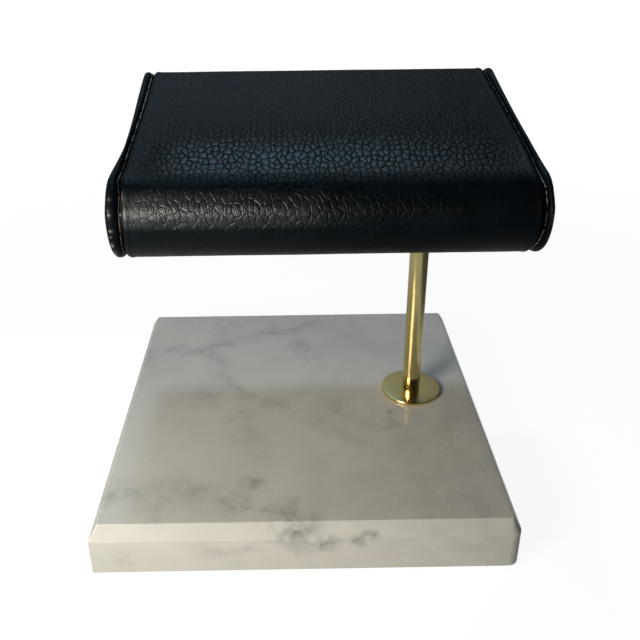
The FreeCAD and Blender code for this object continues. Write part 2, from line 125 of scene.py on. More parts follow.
def spread(length, pitch):
    """Even steps over a length, without its end."""
    count = max(1, math.ceil(length / pitch))
    return np.arange(count) / count


# The cushion's section, from the lap seam under it, round the front, and back

def bearing(start, end):
    return math.atan2(end[1] - start[1], end[0] - start[0])


def section_outline(pitch):
    """Points, outward directions and distances round the section, and where its stretches start.

    The pitch is a dictionary of step lengths for the stretches.
    """
    front_lower = (FRONT_LOWER_RADIUS, FRONT_LOWER_RADIUS)
    front_upper = (FRONT_UPPER_RADIUS, NOSE_HEIGHT)
    back_upper = (CUSHION_DEPTH - BACK_UPPER_RADIUS, BACK_HEIGHT - BACK_UPPER_RADIUS)
    back_lower = (CUSHION_DEPTH - BACK_LOWER_RADIUS, BACK_LOWER_RADIUS)
    lap = POST_MIDDLE.y + LAP_BEHIND_POST - CUSHION_FRONT

    reach_front = HOLLOW_RADIUS + FRONT_UPPER_RADIUS
    reach_back = HOLLOW_RADIUS + BACK_UPPER_RADIUS
    span = math.dist(front_upper, back_upper)
    along = (reach_front ** 2 - reach_back ** 2 + span ** 2) / (2 * span)
    rise = math.sqrt(reach_front ** 2 - along ** 2)
    tilt = bearing(front_upper, back_upper)
    top = (front_upper[0] + along * math.cos(tilt) - rise * math.sin(tilt),
           front_upper[1] + along * math.sin(tilt) + rise * math.cos(tilt))
    to_front = bearing(front_upper, top)
    to_back = bearing(back_upper, top)

    def line(start, end, outward):
        length = math.dist(start, end)
        return length, lambda t: (start[0] + (end[0] - start[0]) * t, start[1] + (end[1] - start[1]) * t,
                                  outward[0] + 0 * t, outward[1] + 0 * t)

    def arc(centre, radius, first, last, outward=1):
        def at(t):
            turned = first + (last - first) * t
            return (centre[0] + radius * np.cos(turned), centre[1] + radius * np.sin(turned),
                    outward * np.cos(turned), outward * np.sin(turned))
        return radius * abs(last - first), at

    stretches = {
        "under_front": line((lap, 0), (front_lower[0], 0), (0, -1)),
        "nose_lower": arc(front_lower, FRONT_LOWER_RADIUS, -math.pi / 2, -math.pi),
        "nose": line((0, front_lower[1]), (0, NOSE_HEIGHT), (-1, 0)),
        "nose_upper": arc(front_upper, FRONT_UPPER_RADIUS, math.pi, to_front),
        "top": arc(top, HOLLOW_RADIUS, to_front - math.pi, to_back - math.pi, -1),
        "back_upper": arc(back_upper, BACK_UPPER_RADIUS, to_back, 0),
        "back": line((CUSHION_DEPTH, back_upper[1]), (CUSHION_DEPTH, back_lower[1]), (1, 0)),
        "back_lower": arc(back_lower, BACK_LOWER_RADIUS, 0, -math.pi / 2),
        "under_back": line((back_lower[0], 0), (lap, 0), (0, -1)),
    }
    columns = [[], [], [], [], []]
    starts = {}
    run = 0.0
    for name, (length, at) in stretches.items():
        starts[name] = run
        t = spread(length, pitch.get(name, pitch["other"]))
        for column, values in zip(columns, (*at(t), run + t * length)):
            column.extend(values)
        run += length
    starts["end"] = run
    across, up, out_across, out_up, distance = (np.array(column) for column in columns)
    sag = SAG * step(distance, starts["nose_upper"] + 1, starts["nose_upper"] + 7)
    sag = sag * (1 - step(distance, starts["top"] + 2, starts["top"] + SAG_FADE))
    across = across - out_across * sag
    up = up - out_up * sag
    along_across = np.roll(across, -1) - np.roll(across, 1)
    along_up = np.roll(up, -1) - np.roll(up, 1)
    length = np.hypot(along_across, along_up)
    sagged = sag > 0
    out_across = np.where(sagged, -along_up / length, out_across)
    out_up = np.where(sagged, along_across / length, out_up)
    return {"across": across, "up": up, "out_across": out_across, "out_up": out_up,
            "run": distance, "starts": starts}


def rings(outline, profile, proud=None):
    """Points of the section swept along a profile of places along the length and insets.

    The optional array proud moves each point outwards.
    """
    stations, insets = np.array(profile).T
    lift = (0 if proud is None else proud) - insets[:, None]
    across = outline["across"] + outline["out_across"] * lift
    up = outline["up"] + outline["out_up"] * lift
    along = stations[:, None] + 0 * across
    return np.stack([CUSHION_MIDDLE + along, CUSHION_FRONT + across, CUSHION_UNDERSIDE + up], axis=-1)


def end_pull(outline, side, profile):
    """How far outwards an end is pulled, for each place of a profile and each point round the section.

    The profile gives each ring's distance from the end's outer face and its inset. The pulls move the seam
    outwards along the top and at the nose, and the lip's outer face inwards along the top.
    """
    run, starts = outline["run"], outline["starts"]
    pull_top, pull_nose, pull_lip = RIGHT_PULLS if side > 0 else LEFT_PULLS
    to_top = step(run, starts["top"] - 3, starts["top"] + 10)
    on_top = to_top * (1 - step(run, starts["back_upper"] - 25, starts["back_upper"]))
    on_nose = step(run, starts["nose_lower"] + 8, starts["nose"])
    on_nose = on_nose * (1 - step(run, starts["top"] - 8, starts["top"]))
    seam = pull_top * on_top + pull_nose * on_nose
    depth, inset = np.array(profile).T
    shallow = 1 - step(inset, 2.0, GROOVE_DEPTH + TURNED_EDGE)
    in_cover = 1 - step(depth, PANEL_THICKNESS + 3, PANEL_THICKNESS + 16)
    share = np.clip(depth / PANEL_THICKNESS, 0, 1)
    face = -pull_lip * step(run, starts["top"], starts["top"] + 18)
    face = face * (1 - step(run, starts["top"] + 14, starts["back_upper"]))
    pull = face * (1 - share)[:, None] + seam * (share * in_cover)[:, None]
    return side * pull * shallow[:, None]


def ring_faces(ring_count, point_count, joined=False):
    """Four-sided faces between rings. Joined: the last ring meets the first."""
    faces = []
    last = ring_count if joined else ring_count - 1
    for i in range(last):
        a = i * point_count
        b = ((i + 1) % ring_count) * point_count
        for j in range(point_count):
            k = (j + 1) % point_count
            faces.append((a + j, a + k, b + k, b + j))
    return faces


# Materials

SMOOTH = {"interpolation_type": "SMOOTHSTEP"}


def linear(code):
    """A colour written as sRGB hex, for a socket."""
    values = [int(code[i:i + 2], 16) / 255 for i in (1, 3, 5)]
    return [v / 12.92 if v <= 0.04045 else ((v + 0.055) / 1.055) ** 2.4 for v in values] + [1.0]


def add_node(tree, kind, inputs=(), **settings):
    """Add a node with its settings, and fill its inputs in their order or by key.

    An input is a number, a hex colour, a socket, or a node that stands for its first output in use.
    """
    node = tree.nodes.new(kind if kind.startswith(("Geometry", "NodeGroup")) else "ShaderNode" + kind)
    for name, value in settings.items():
        setattr(node, name, value)
    for key, value in inputs.items() if isinstance(inputs, dict) else enumerate(inputs):
        if isinstance(value, bpy.types.Node):
            value = next(socket for socket in value.outputs if socket.enabled)
        if isinstance(value, bpy.types.NodeSocket):
            tree.links.new(value, node.inputs[key])
        else:
            node.inputs[key].default_value = linear(value) if str(value).startswith("#") else value
    return node


def new_material(name):
    """An empty material, with what adds nodes to it and its coordinates."""
    material = bpy.data.materials.new(name)
    material.use_nodes = True
    material.node_tree.nodes.clear()
    add = partial(add_node, material.node_tree)
    return material, add, add("TexCoord").outputs["Object"]


def finished(material, add, look):
    """The material, with its shader's inputs filled."""
    add("OutputMaterial", [add("BsdfPrincipled", look)])
    return material


def per_mm(size):
    """Texture scale at which one feature is this many millimetres, on coordinates in metres."""
    return 1.0 / (size * MM)


def laid_over(add, colour, layers):
    """The colour under other colours, each with its share."""
    for share, tint in layers:
        colour = add("Mix", {0: share, 6: colour, 7: tint}, data_type="RGBA")
    return colour


def wavered(add, place, size, reach, detail=3.0):
    """The place, pushed about by soft noise of a real size and reach in millimetres."""
    waver = add("TexNoise", {"Vector": place, "Scale": per_mm(size), "Detail": detail})
    centred = add("VectorMath", (waver.outputs["Color"], (0.5, 0.5, 0.5)), operation="SUBTRACT")
    return add("VectorMath", (centred, (reach * MM,) * 3, place), operation="MULTIPLY_ADD")


# Grey veins and specks as they cross the slab's top, and one wide band of painted shade: places in millimetres,
# width and strength.
# A place beyond the front edge shows on the bevel and the front face.

VEINS_AND_SHADE = [
    ([(-60, 28), (-49, 33), (-43, 30), (-26, 36), (-14, 42), (6, 50)], 1.5, 0.55),
    ([(-34, 34), (-27, 13), (-21, 2), (-6, -4)], 1.4, 0.50),
    ([(-30, 48), (-29, 37)], 1.2, 0.30),
    ([(-6, -4), (9, -18), (24, -28)], 1.3, 0.30),
    ([(8, -8), (23, -16), (39, -24), (62, -37)], 2.2, 0.24),
    ([(-58, -46), (-38, -44), (-28, -46), (-18, -52), (-3, -56)], 2.3, 0.55),
    ([(-47, -48), (-42, -55)], 1.8, 0.35),
    ([(-4, -57), (-2, -62)], 2.6, 1.40),
    ([(-29, -69), (-19, -68), (-9, -66)], 1.1, 0.40),
    ([(4, -65), (19, -65)], 0.9, 1.10),
    ([(-55, -71), (-45, -73)], 1.8, 0.25),
    ([(-21, -11), (-20, -11)], 1.3, 1.30),
    ([(-20, -17), (-18, -17)], 3.0, 0.30),
    ([(-33, 1), (-31, 1)], 2.0, 0.50),
    ([(-16, -42), (-14, -42)], 1.3, 0.85),
    ([(-1, 33), (1, 33)], 1.6, 1.00),
    ([(6, 28), (6, 22)], 2.2, 0.20),
    ([(-27, 53), (-24, 53)], 2.0, 0.35),
    ([(12, -6), (13, -7)], 1.8, 1.05),
    ([(27, -14), (29, -14)], 1.8, 0.85),
    ([(30, -10), (30, -9)], 1.1, 1.20),
    ([(44, -11), (48, -9)], 2.6, 0.22),
    # Painted shade: a wide grey band over the right front of the top and its bevel.
    ([(50, -52), (48, -4)], 12.0, 0.30),
]
LINE_WIDTH, LINE_SHARE = 1.4, 0.58
HALO_WIDTH, HALO_SHARE = 4.0, 0.42


def distance_to_path(add, place, path):
    """Distance from a path of straight stretches, given in millimetres, to the place."""
    nearest = None
    for start, end in zip(path, path[1:]):
        first = Vector((*start, 0)) * MM
        run = Vector((*end, 0)) * MM - first
        onward = add("VectorMath", (place, first), operation="SUBTRACT")
        share = add("VectorMath", (onward, run / run.length_squared), operation="DOT_PRODUCT")
        foot = add("VectorMath", {0: run, "Scale": add("Clamp", [share])}, operation="SCALE")
        gap = add("VectorMath", (onward, foot), operation="DISTANCE")
        nearest = gap if nearest is None else add("Math", (nearest, gap), operation="MINIMUM")
    return nearest


def polished_marble():
    """White marble, sawn, honed and polished: grey clouds, fine veins and dark specks, with painted shade in a
    wide band at the right front and painted highlights of crystals as tiny white dots.

    The veins lean back at half a right angle as they go down.
    """
    material, add, place = new_material("polished_white_marble")
    apart = add("SeparateXYZ", [wavered(add, place, 8.0, 8.0, 2.0)]).outputs
    depth = add("Math", (apart["Z"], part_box("marble_base")[1].z), operation="SUBTRACT")
    flat = add("CombineXYZ", (apart["X"], add("Math", (apart["Y"], depth), operation="ADD")))

    veins_and_shade = None
    for path, width, strength in VEINS_AND_SHADE:
        gap = distance_to_path(add, flat, path)
        line = add("MapRange", (gap, 0.0, LINE_WIDTH * width * MM, strength * LINE_SHARE, 0.0), **SMOOTH)
        halo = add("MapRange", (gap, 0.0, HALO_WIDTH * width * MM, strength * HALO_SHARE, 0.0), **SMOOTH)
        one_mark = add("Math", (line, halo), operation="MAXIMUM")
        veins_and_shade = one_mark if veins_and_shade is None else add("Math", (veins_and_shade, one_mark), operation="MAXIMUM")
    broken = add("TexNoise", {"Vector": place, "Scale": per_mm(6), "Detail": 6.0, "Roughness": 0.65})
    breaks = add("MapRange", (broken, 0.38, 0.6, 0.15, 1.1), **SMOOTH)
    veins_and_shade = add("Math", (veins_and_shade, breaks), operation="MULTIPLY")

    cloud = add("TexNoise", {"Vector": place, "Scale": per_mm(40), "Detail": 6.0, "Roughness": 0.6,
                             "Distortion": 0.8})
    clouded = add("MapRange", (cloud, 0.38, 0.68), **SMOOTH)
    grain = add("TexNoise", {"Vector": place, "Scale": per_mm(1.6), "Detail": 5.0, "Roughness": 0.65})
    grained = add("MapRange", (grain, 0.35, 0.7, 0.0, 0.05), **SMOOTH)
    # Painted highlights: tiny white dots in the colour, for glints off crystals.
    dot_cells = add("TexVoronoi", {"Vector": place, "Scale": per_mm(5.0)})
    painted_highlight_dots = add("MapRange", (dot_cells, 0.03, 0.06, 1.0, 0.0), **SMOOTH)
    colour = laid_over(add, "#DDDBD0", [(clouded, "#D0D0C7"), (grained, "#EBE8E1"), (veins_and_shade, "#77797A"),
                                        (painted_highlight_dots, "#FFFFFF")])
    return finished(material, add, {
        "Base Color": colour,
        "Roughness": add("MapRange", (grain, 0.3, 0.7, 0.18, 0.22), **SMOOTH),
        "IOR": 1.5,
        "Subsurface Weight": 0.12,
        "Subsurface Radius": (1.0, 0.9, 0.8),
        "Subsurface Scale": 1.5 * MM,
        "Normal": add("Bump", {"Height": grain, "Distance": 0.004 * MM}),
    })


def polished_brass(name, tint, roughness):
    """Pale brass, turned, polished and lacquered: faint turning marks under a clear gloss."""
    material, add, place = new_material(name)
    stretched = add("Mapping", {"Vector": place, "Scale": (1.0, 1.0, 0.08)})
    marks = add("TexNoise", {"Vector": stretched, "Scale": per_mm(0.7), "Detail": 3.0})
    tarnish = add("TexNoise", {"Vector": place, "Scale": per_mm(7), "Detail": 5.0})
    tarnished = add("MapRange", (tarnish, 0.4, 0.75, 0.0, 0.35), **SMOOTH)
    return finished(material, add, {
        "Base Color": laid_over(add, tint, [(tarnished, "#C2B67C")]),
        "Metallic": 1.0,
        "Roughness": add("MapRange", (tarnish, 0.3, 0.7, roughness - 0.03, roughness + 0.05), **SMOOTH),
        "Normal": add("Bump", {"Height": marks, "Distance": 0.004 * MM}),
    })


def planed_wood():
    """Pale close-grained hardwood, sawn and planed: growth rings along the block."""
    material, add, place = new_material("planed_beech")
    along = add("Mapping", {"Vector": place, "Scale": (0.12, 1.0, 1.0)})
    growth = add("TexWave", {"Vector": along, "Scale": per_mm(14), "Distortion": 3.0, "Detail": 3.0},
                 wave_type="RINGS").outputs["Fac"]
    fleck = add("TexNoise", {"Vector": along, "Scale": per_mm(0.6), "Detail": 3.0})
    layers = [(add("MapRange", (growth, 0.2, 0.9), **SMOOTH), "#C59E70"),
              (add("MapRange", (fleck, 0.55, 0.7, 0.0, 0.4), **SMOOTH), "#8E6843")]
    return finished(material, add, {
        "Base Color": laid_over(add, "#D9B78C", layers),
        "Roughness": 0.6,
        "Normal": add("Bump", {"Height": fleck, "Distance": 0.03 * MM}),
    })


def fine_grained(name, kind, size, grain, tones, rough, depth, more):
    """A plain finish with one fine grain in it, which turns its colour between two tones and roughens it."""
    material, add, place = new_material(name)
    fine = add(kind, {"Vector": place, "Scale": per_mm(size), **grain})
    low, high, first, second = tones
    if isinstance(rough, tuple):
        rough = add("MapRange", (fine, 0.3, 0.7, *rough), **SMOOTH)
    return finished(material, add, {
        "Base Color": laid_over(add, first, [(add("MapRange", (fine, low, high), **SMOOTH), second)]),
        "Roughness": rough,
        "Normal": add("Bump", {"Height": fine, "Distance": depth * MM}),
        **more,
    })


def zinc_steel():
    """Zinc-plated steel, rolled and plated: greyish with a faint blue cast and fine frosting."""
    return fine_grained("zinc_plated_steel", "TexNoise", 0.8, {"Detail": 4.0}, (0.35, 0.7, "#AEB4BA", "#8C9298"),
                        (0.28, 0.42), 0.006, {"Metallic": 1.0})


def wool_felt():
    """Dark pressed felt: short fibres in all directions, no gloss."""
    fibres = {"Detail": 6.0, "Roughness": 0.7, "Distortion": 1.5}
    return fine_grained("pressed_wool_felt", "TexNoise", 0.35, fibres, (0.3, 0.7, "#16181A", "#2C2F32"),
                        0.95, 0.08, {"Sheen Weight": 0.35, "Sheen Roughness": 0.5})


def grey_foam():
    """Open-cell polyurethane foam, cut from sheet: small round cells."""
    return fine_grained("cut_polyurethane_foam", "TexVoronoi", 0.8, {}, (0.1, 0.6, "#5E6164", "#8B8E90"),
                        0.9, 0.15, {})


def grey_board():
    """Pressed card: flat grey-brown pulp with darker specks."""
    return fine_grained("pressed_greyboard", "TexNoise", 1.2, {"Detail": 5.0}, (0.35, 0.7, "#9A948A", "#78736B"),
                        0.85, 0.03, {})


CELL_WIDTH = 1.7
CELL_LENGTH = 2.9
VALLEY_WIDTH = 0.17
CREASE_WIDTH = 0.10


def grain_cells(add, unrolled, share=1.0):
    """Distance from the creases in a net of leather cells, 0 in a crease.

    It makes the same net in a shader and in geometry nodes. The share makes the cells smaller.
    """
    loose = wavered(add, unrolled, 2.4 * share, 1.3 * share)
    cell = (per_mm(CELL_WIDTH * share), per_mm(CELL_LENGTH * share), 0.0)
    sized = add("VectorMath", (loose, cell), operation="MULTIPLY")
    return add("TexVoronoi", {"Vector": sized, "Scale": 1.0, "Randomness": 0.9},
               voronoi_dimensions="2D", feature="DISTANCE_TO_EDGE")


SHINE = 0.085
SHINE_RUBBED = 0.72
SHINE_IN_VALLEY = 0.03
# Painted cool light: a bluish tint on all the leather's reflections, standing in for the cool window light it
# reflects.
PAINTED_COOL_TINT = "#D8EEF8"


def black_leather(name, edge_wear_and_glint=False):
    """Black full-grain leather, tumbled and waxed: domed cells between creases, painted shade in the creases and
    a painted cool tint on its reflections. With edge wear and glint: a pale cut edge, partly wear and partly
    painted highlight.

    The piece carries its unrolled places, the strength of its grain, how far its cells are domed and where
    it is rubbed to a shine.
    """
    material, add, place = new_material(name)

    def carried(attribute):
        return add("Attribute", attribute_name=attribute).outputs["Fac"]

    unrolled = add("Attribute", attribute_name="unrolled").outputs["Vector"]
    domed = carried("domed")
    cells = grain_cells(add, unrolled)
    crease = add("Mix", {0: domed, 2: add("MapRange", (cells, 0.0, CREASE_WIDTH), **SMOOTH),
                         3: add("MapRange", (cells, 0.0, VALLEY_WIDTH), **SMOOTH)})
    uneven = add("TexNoise", {"Vector": place, "Scale": per_mm(4), "Detail": 3.0})
    uneven = add("MapRange", (uneven, 0.35, 0.62, 0.75, 1.0), **SMOOTH)
    strength = add("Math", (carried("grain"), uneven), operation="MULTIPLY")
    fine = add("MapRange", (grain_cells(add, unrolled, 0.4), 0.0, 0.16), **SMOOTH)
    pores = add("TexNoise", {"Vector": place, "Scale": per_mm(0.35), "Detail": 3.0})
    tone = add("TexNoise", {"Vector": place, "Scale": per_mm(11), "Detail": 4.0})

    # Painted shade in the creases: a darker colour and a dimmer gloss where the cells meet.
    in_crease = add("Math", (1.0, crease), operation="SUBTRACT")
    painted_crease_shade = add("Math", (in_crease, strength), operation="MULTIPLY")
    painted_crease_shade = add("Math", (painted_crease_shade, domed), operation="MULTIPLY")
    layers = [(add("MapRange", (tone, 0.35, 0.7), **SMOOTH), "#060C11"), (painted_crease_shade, "#030404")]
    # Pale cut edge: partly wear and partly painted highlight.
    if edge_wear_and_glint:
        speckle = add("TexNoise", {"Vector": place, "Scale": per_mm(0.9), "Detail": 3.0})
        speckle = add("MapRange", (speckle, 0.42, 0.58), **SMOOTH)
        layers.append((add("Math", (carried("wear_and_glint"), speckle), operation="MULTIPLY"), "#B5B0A6"))

    flat = add("Math", (1.0, domed), operation="SUBTRACT")
    flat = add("Math", (flat, 0.08), operation="MULTIPLY")
    rough = add("MapRange", (tone, 0.3, 0.7, 0.31, 0.39), **SMOOTH)
    polish = add("Math", (carried("rubbed"), SHINE_RUBBED - SHINE), operation="MULTIPLY")
    full = add("Math", (SHINE, polish), operation="ADD")

    dome = add("Math", (domed, 0.07), operation="MULTIPLY")
    deep = add("Math", (0.075, dome), operation="ADD")
    deep = add("Math", (strength, deep), operation="MULTIPLY")
    height = add("Math", (crease, deep), operation="MULTIPLY")
    for part, depth in ((fine, 0.025), (pores, 0.012)):
        height = add("Math", (height, add("Math", (part, depth), operation="MULTIPLY")), operation="ADD")
    return finished(material, add, {
        "Base Color": laid_over(add, "#03070B", layers),
        "Roughness": add("Math", (rough, flat), operation="ADD"),
        "Specular IOR Level": add("Mix", {0: painted_crease_shade, 2: full, 3: SHINE_IN_VALLEY}),
        "Specular Tint": PAINTED_COOL_TINT,
        "Normal": add("Bump", {"Height": height, "Distance": 1.0 * MM}),
    })


def waxed_thread(name, on_nose, on_top):
    """Grey polyester sewing thread, twisted and waxed: near black, with its pale grey shown as a painted
    highlight in the given shares on nose and top, broken into patches.
    """
    material, add, place = new_material(name)
    back = add("SeparateXYZ", [place]).outputs["Y"]
    # Painted highlight: the pale grey shows by place along the seam and in patches; elsewhere the thread is near
    # black.
    painted_highlight = add("MapRange", (back, -34 * MM, -26 * MM, on_nose, on_top), **SMOOTH)
    twist = add("TexWave", {"Vector": place, "Scale": per_mm(1.2), "Distortion": 1.0},
                bands_direction="DIAGONAL").outputs["Fac"]
    twisted = add("MapRange", (twist, 0.2, 0.8), **SMOOTH)
    highlight_patches = add("TexNoise", {"Vector": place, "Scale": per_mm(5), "Detail": 2.0})
    highlight_patches = add("MapRange", (highlight_patches, 0.42, 0.55), **SMOOTH)
    painted_highlight = add("Math", (painted_highlight, highlight_patches), operation="MULTIPLY")
    return finished(material, add, {
        "Base Color": laid_over(add, "#151617", [(painted_highlight, laid_over(add, "#6F6F6B", [(twisted, "#A9A8A2")]))]),
        "Roughness": 0.45,
        "Normal": add("Bump", {"Height": twist, "Distance": 0.03 * MM}),
    })


# Geometry nodes, shared by the cover and the stitches

def new_growth(name, start, sizes):
    """An empty geometry tree with named inputs, what adds nodes to it, and the values it is given."""
    tree = bpy.data.node_groups.new(name, "GeometryNodeTree")
    tree.is_modifier = True
    tree.interface.new_socket(start, in_out="INPUT", socket_type="NodeSocketGeometry")
    for size in sizes:
        tree.interface.new_socket(size, in_out="INPUT", socket_type="NodeSocketFloat")
    tree.interface.new_socket("Grown", in_out="OUTPUT", socket_type="NodeSocketGeometry")
    add = partial(add_node, tree)
    return tree, add, add("NodeGroupInput").outputs


def end_growth(tree, add, grown, material):
    """End the tree with plain meshes in the material."""
    real = add("GeometryNodeRealizeInstances", [grown])
    add("NodeGroupOutput", [add("GeometryNodeSetMaterial", {"Geometry": real, "Material": material})])
    return tree


def grow(piece, tree, sizes):
    """Run geometry nodes on the piece, with sizes in millimetres, and keep their result as its mesh."""
    modifier = piece.modifiers.new(tree.name, "NODES")
    modifier.node_group = tree
    for item in tree.interface.items_tree:
        if item.in_out == "INPUT" and item.name in sizes:
            modifier[item.identifier] = sizes[item.name] * MM
    grown = bpy.data.meshes.new_from_object(piece.evaluated_get(bpy.context.evaluated_depsgraph_get()))
    piece.modifiers.clear()
    piece.data = grown


# Leather cover

NOSE_PITCH = {"nose_lower": 0.6, "nose": 0.5, "nose_upper": 0.45, "top": 0.55, "back_upper": 0.8,
              "back": 1.2, "back_lower": 1.2, "other": 1.5}
LENGTH_PITCH = 0.36


def cover_skin():
    """The cover's outer profile from end to end: thread bed, rolled end, padded middle and back."""
    side = [(COVER_HALF, GROOVE_DEPTH)]
    roll_start = COVER_HALF - GROOVE_WIDTH
    side.append((roll_start + 0.15, GROOVE_DEPTH))
    drop = math.acos(1 - (GROOVE_DEPTH - 0.1) / ROLL_RADIUS)
    for turned in np.linspace(drop, 0, 8):
        side.append((roll_start - ROLL_RADIUS * (math.sin(drop) - math.sin(turned)),
                     ROLL_RADIUS * (1 - math.cos(turned))))
    flat_half = side[-1][0]
    count = math.ceil(2 * flat_half / LENGTH_PITCH)
    middle = [(flat_half - 2 * flat_half * k / count, 0.0) for k in range(1, count)]
    return side + middle + [(-station, inset) for station, inset in reversed(side)]


def cover_inside():
    """The turned-in edges and the cavity, closing the cover's profile."""
    mouth = GROOVE_DEPTH + TURNED_EDGE
    cavity_half = COVER_HALF - GROOVE_WIDTH - LEATHER
    left = [(-COVER_HALF, mouth), (-cavity_half, mouth), (-cavity_half, LEATHER + 0.25)]
    return left + [(-station, inset) for station, inset in reversed(left)]


def evaluated_points(piece):
    """The piece's points after its modifiers, in millimetres."""
    evaluated = piece.evaluated_get(bpy.context.evaluated_depsgraph_get())
    mesh = evaluated.to_mesh()
    points = np.zeros(len(mesh.vertices) * 3)
    mesh.vertices.foreach_get("co", points)
    evaluated.to_mesh_clear()
    return points.reshape(-1, 3) / MM


VOXEL = 4.5
PRESSURE = 4.0
LAST_FRAME = 20
SWELL_START = 0.8
SWELL_CAP = 0.3


def blown_form():
    """Places on a cloth laid round the cushion, before and after it is blown up a little."""
    outline = section_outline({"other": 3.0})
    count = len(outline["run"])
    stations = np.linspace(-COVER_HALF + 1.5, COVER_HALF - 1.5, 30)
    points = rings(outline, [(station, SWELL_START) for station in stations])
    faces = ring_faces(len(stations), count)
    faces.append(tuple(range(count))[::-1])
    faces.append(tuple(range((len(stations) - 1) * count, len(stations) * count)))
    form = mesh_piece("swelling_form", points.reshape(-1, 3), faces, None)
    remesh = form.modifiers.new("remesh", "REMESH")
    remesh.mode = "VOXEL"
    remesh.voxel_size = VOXEL * MM
    still = evaluated_points(form)
    cloth = form.modifiers.new("cloth", "CLOTH")
    cloth.settings.use_pressure = True
    cloth.settings.uniform_pressure_force = PRESSURE
    cloth.settings.effector_weights.gravity = 0.0
    cloth.settings.quality = 6
    for number in range(1, LAST_FRAME + 1):
        bpy.context.scene.frame_set(number)
    blown = evaluated_points(form)
    bpy.context.scene.frame_set(1)
    bpy.data.objects.remove(form)
    return still, blown


def swelling(outline, skin):
    """How far the cover stands off its padding, by the cloth's nearest places: least minus the cap, most 0."""
    still, blown = blown_form()
    tree = kdtree.KDTree(len(still))
    for i, point in enumerate(still):
        tree.insert(point, i)
    tree.balance()
    moved = blown - still
    flat = rings(outline, skin).reshape(-1, 3)
    swell = np.zeros(len(flat))
    for i, point in enumerate(flat):
        near = tree.find_n(point, 6)
        weights = np.array([1 / (distance + 1.0) for place, index, distance in near])
        shift = sum(w * moved[index] for w, (place, index, distance) in zip(weights, near)) / weights.sum()
        swell[i] = np.linalg.norm(shift)
    swell = swell.reshape(len(skin), -1)
    return SWELL_CAP * (swell - swell.min()) / max(1e-6, swell.max() - swell.min()) - SWELL_CAP


def undulation(along, around, size, seed):
    """Soft unevenness between -1 and 1."""
    values = [noise.noise(Vector((u / size, v / size, seed))) for u, v in zip(along.ravel(), around.ravel())]
    return np.array(values).reshape(along.shape)


def grain_strength(outline, along):
    """How strongly the grain shows: full in front and round the nose, faint at the back and at the seams."""
    run, starts = outline["run"], outline["starts"]
    around = 0.35 + 0.65 * step(run, starts["nose_lower"] + 8, starts["nose"] + 4)
    around = around * (1 - 0.75 * step(run, starts["top"] + 10, starts["top"] + 40))
    from_end = COVER_HALF - np.abs(along)
    ends = 0.3 + 0.7 * step(from_end, 2.0, 12.0)
    nose = 1 - step(run, starts["top"] - 6, starts["top"] + 2)
    faint_right = 0.7 * step(along, 5.0, 45.0)[:, None] * nose
    return around * ends[:, None] * (1 - faint_right)


def rubbed_share(outline, along):
    """Where handling has polished the leather, in 0 to 1: the nose, the top's front and a little the back."""
    run, starts = outline["run"], outline["starts"]
    along = along[:, None]
    above_low = step(run, starts["nose"] - 2, starts["nose"])
    nose = above_low * (1 - step(run, starts["nose"] + 6, starts["nose"] + 11))
    front = step(run, starts["top"] - 1, starts["top"] + 2)
    front = front * (1 - step(run, starts["top"] + 6, starts["top"] + 24))
    back = 0.4 * step(run, starts["back_upper"] + 3, starts["back_upper"] + 8)
    fading = 1 - 0.95 * step(along, -30.0, 14.0)
    inside = step(along, -47.0, -36.0) * (1 - 0.7 * step(along, 8.0, 50.0))
    low = 0.2 * (1 - above_low) * (1 - step(along, -40.0, 20.0))
    return nose * fading + 0.5 * front * inside + low + back


NOSE_STRETCH = 1.15


def unrolled_run(outline):
    """Distance round the section, squeezed where the leather is stretched over the nose."""
    run, starts = outline["run"], outline["starts"]
    stretched = step(run, starts["nose_lower"] + 8, starts["nose"])
    stretched = stretched * (1 - step(run, starts["top"] - 6, starts["top"] + 4))
    density = 1 / (1 + (NOSE_STRETCH - 1) * stretched)
    steps = np.diff(run, prepend=0.0)
    return np.cumsum(steps * density)


def grain_tree(material):
    """Geometry nodes that raise the cells of the grain from the leather."""
    tree, add, given = new_growth("leather_grain", "Leather", ["Rise"])

    def carried(name, kind="FLOAT"):
        return add("GeometryNodeInputNamedAttribute", {"Name": name}, data_type=kind)

    rise = add("MapRange", (grain_cells(add, carried("unrolled", "FLOAT_VECTOR")), 0.0, 0.42), **SMOOTH)
    for share in (carried("grain"), carried("domed"), given["Rise"]):
        rise = add("Math", (rise, share), operation="MULTIPLY")
    offset = add("VectorMath", {0: carried("outward", "FLOAT_VECTOR"), "Scale": rise}, operation="SCALE")
    moved = add("GeometryNodeSetPosition", {"Geometry": given["Leather"], "Offset": offset})
    return end_growth(tree, add, moved, material)


def carry(piece, name, values):
    """Store one number or one vector for each point of the piece."""
    values = np.asarray(values, dtype=float)
    kind, key = ("FLOAT", "value") if values.ndim == 1 else ("FLOAT_VECTOR", "vector")
    piece.data.attributes.new(name, kind, "POINT").data.foreach_set(key, values.ravel())


GRAIN_RISE = 0.13


